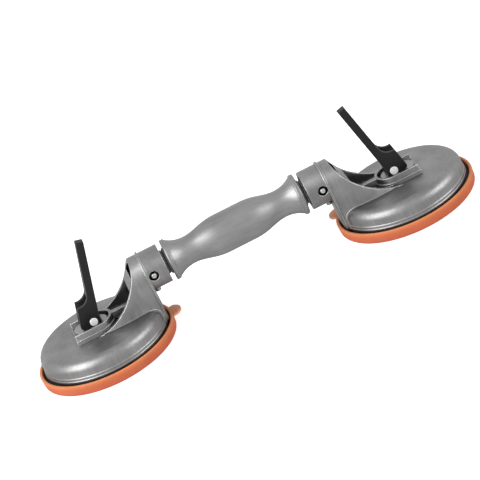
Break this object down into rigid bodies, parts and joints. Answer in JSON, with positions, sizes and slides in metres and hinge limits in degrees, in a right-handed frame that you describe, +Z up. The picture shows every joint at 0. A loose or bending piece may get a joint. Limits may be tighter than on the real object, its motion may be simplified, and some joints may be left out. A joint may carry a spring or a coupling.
{
  "type": "suction lifter",
  "caption": "Hand-held suction lifter for tiles and slabs: a waisted cast handle with a swivelling round cup at each end, each with a flip lever, rubber pad and slip-on cover.",
  "frame": {"origin": "on the floor, under the middle of the handle, between the two cups", "axes": "+X along the handle, towards the head whose cover tab is turned; +Z up, away from the tile"},
  "size_m": [0.4064, 0.1244, 0.1054],
  "materials": {
    "cast_aluminium": "satin",
    "steel": "brushed",
    "dark_steel": "blackened",
    "black_plastic": "matt",
    "black_lever": "satin powder coat",
    "rubber": "matt",
    "orange_plastic": "soft matt"
  },
  "bodies": {
    "handle": {"handle_casting": "cast_aluminium", "left_cross_pin": "steel", "right_cross_pin": "steel"},
    "left_swivel": {"left_swivel_bush": "black_plastic"},
    "left_head": {"left_head_casting": "cast_aluminium", "left_wear_plate": "steel", "left_set_screw": "dark_steel", "left_suction_pad": "rubber", "left_return_spring": "steel"},
    "left_pull": {"left_pull_post": "steel", "left_pad_plate": "steel"},
    "left_lever": {"left_lever": "black_lever", "left_lever_pin": "steel", "left_pin_cap": "steel"},
    "left_cover": {"left_cover": "orange_plastic"},
    "right_swivel": {"right_swivel_bush": "black_plastic"},
    "right_head": {"right_head_casting": "cast_aluminium", "right_wear_plate": "steel", "right_set_screw": "dark_steel", "right_suction_pad": "rubber", "right_return_spring": "steel"},
    "right_pull": {"right_pull_post": "steel", "right_pad_plate": "steel"},
    "right_lever": {"right_lever": "black_lever", "right_lever_pin": "steel", "right_pin_cap": "steel"},
    "right_cover": {"right_cover": "orange_plastic"}
  },
  "joints": [
    {"name": "left_roll", "type": "hinge", "parent": "handle", "child": "left_swivel", "pos_m": [-0.0788, 0, 0.053], "axis": [1, 0, 0], "range_deg": [-5.5, 5.5]},
    {"name": "left_pitch", "type": "hinge", "parent": "left_swivel", "child": "left_head", "pos_m": [-0.0788, 0, 0.053], "axis": [0, 1, 0], "range_deg": [-10, 10]},
    {"name": "left_pull_lift", "type": "slide", "parent": "left_head", "child": "left_pull", "axis": [0, 0, 1], "range_m": [0, 0.008], "deforming": ["left_return_spring"]},
    {"name": "left_lever_turn", "type": "hinge", "parent": "left_pull", "child": "left_lever", "pos_m": [-0.141, 0, 0.0369], "axis": [0, -1, 0], "range_deg": [0, 104.2]},
    {"name": "left_cover_off", "type": "slide", "parent": "left_head", "child": "left_cover", "axis": [0, 0, -1], "range_m": [0, 0.03]},
    {"name": "right_roll", "type": "hinge", "parent": "handle", "child": "right_swivel", "pos_m": [0.0788, 0, 0.053], "axis": [1, 0, 0], "range_deg": [-5.5, 5.5]},
    {"name": "right_pitch", "type": "hinge", "parent": "right_swivel", "child": "right_head", "pos_m": [0.0788, 0, 0.053], "axis": [0, 1, 0], "range_deg": [-10, 10]},
    {"name": "right_pull_lift", "type": "slide", "parent": "right_head", "child": "right_pull", "axis": [0, 0, 1], "range_m": [0, 0.008], "deforming": ["right_return_spring"]},
    {"name": "right_lever_turn", "type": "hinge", "parent": "right_pull", "child": "right_lever", "pos_m": [0.141, 0, 0.0369], "axis": [0, 1, 0], "range_deg": [0, 104.2]},
    {"name": "right_cover_off", "type": "slide", "parent": "right_head", "child": "right_cover", "axis": [0, 0, -1], "range_m": [0, 0.03]}
  ],
  "couplings": [
    {"joint": "left_pull_lift", "follows": "left_lever_turn", "m_per_rad": 0.004399},
    {"joint": "right_pull_lift", "follows": "right_lever_turn", "m_per_rad": 0.004399}
  ]
}
